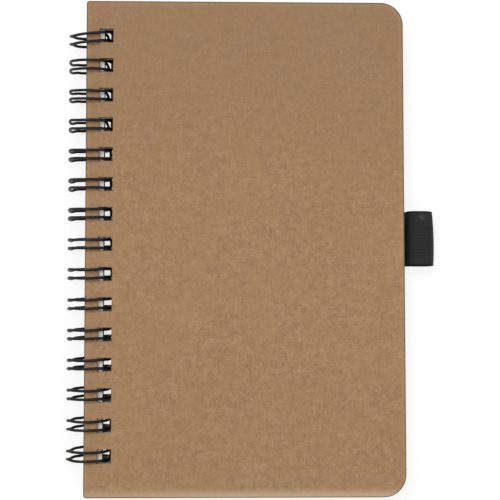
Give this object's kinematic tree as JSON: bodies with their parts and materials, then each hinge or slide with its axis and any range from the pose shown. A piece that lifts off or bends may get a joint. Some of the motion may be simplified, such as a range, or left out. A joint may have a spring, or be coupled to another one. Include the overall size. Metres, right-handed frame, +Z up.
{
  "type": "wire-bound pocket notebook",
  "caption": "Pocket notebook with rounded kraft board covers, a block of white sheets, a black twin-loop wire binding along the spine and a black elastic pen loop at the fore-edge.",
  "frame": {"origin": "middle of the outline seen from above, on the surface that the closed notebook lies on", "axes": "+X from the spine to the fore-edge, +Y along the spine towards the head, +Z up out of the front cover"},
  "size_m": [0.1038, 0.14, 0.0125],
  "materials": {
    "kraft_board": "matte",
    "sheets": "matte",
    "black_wire": "gloss",
    "black_elastic": "matte"
  },
  "bodies": {
    "block": {"page_block": "sheets", "wire_binding": "black_wire"},
    "front": {"front_cover": "kraft_board"},
    "back": {"back_cover": "kraft_board", "pen_loop": "black_elastic"}
  },
  "joints": [
    {"name": "front_cover_turn", "type": "hinge", "parent": "block", "child": "front", "pos_m": [-0.04527, 0, 0.00582], "axis": [0, -1, 0], "range_deg": [0, 150]},
    {"name": "back_cover_turn", "type": "hinge", "parent": "block", "child": "back", "pos_m": [-0.04561, 0, 0.00625], "axis": [0, 1, 0], "range_deg": [0, 25]}
  ]
}
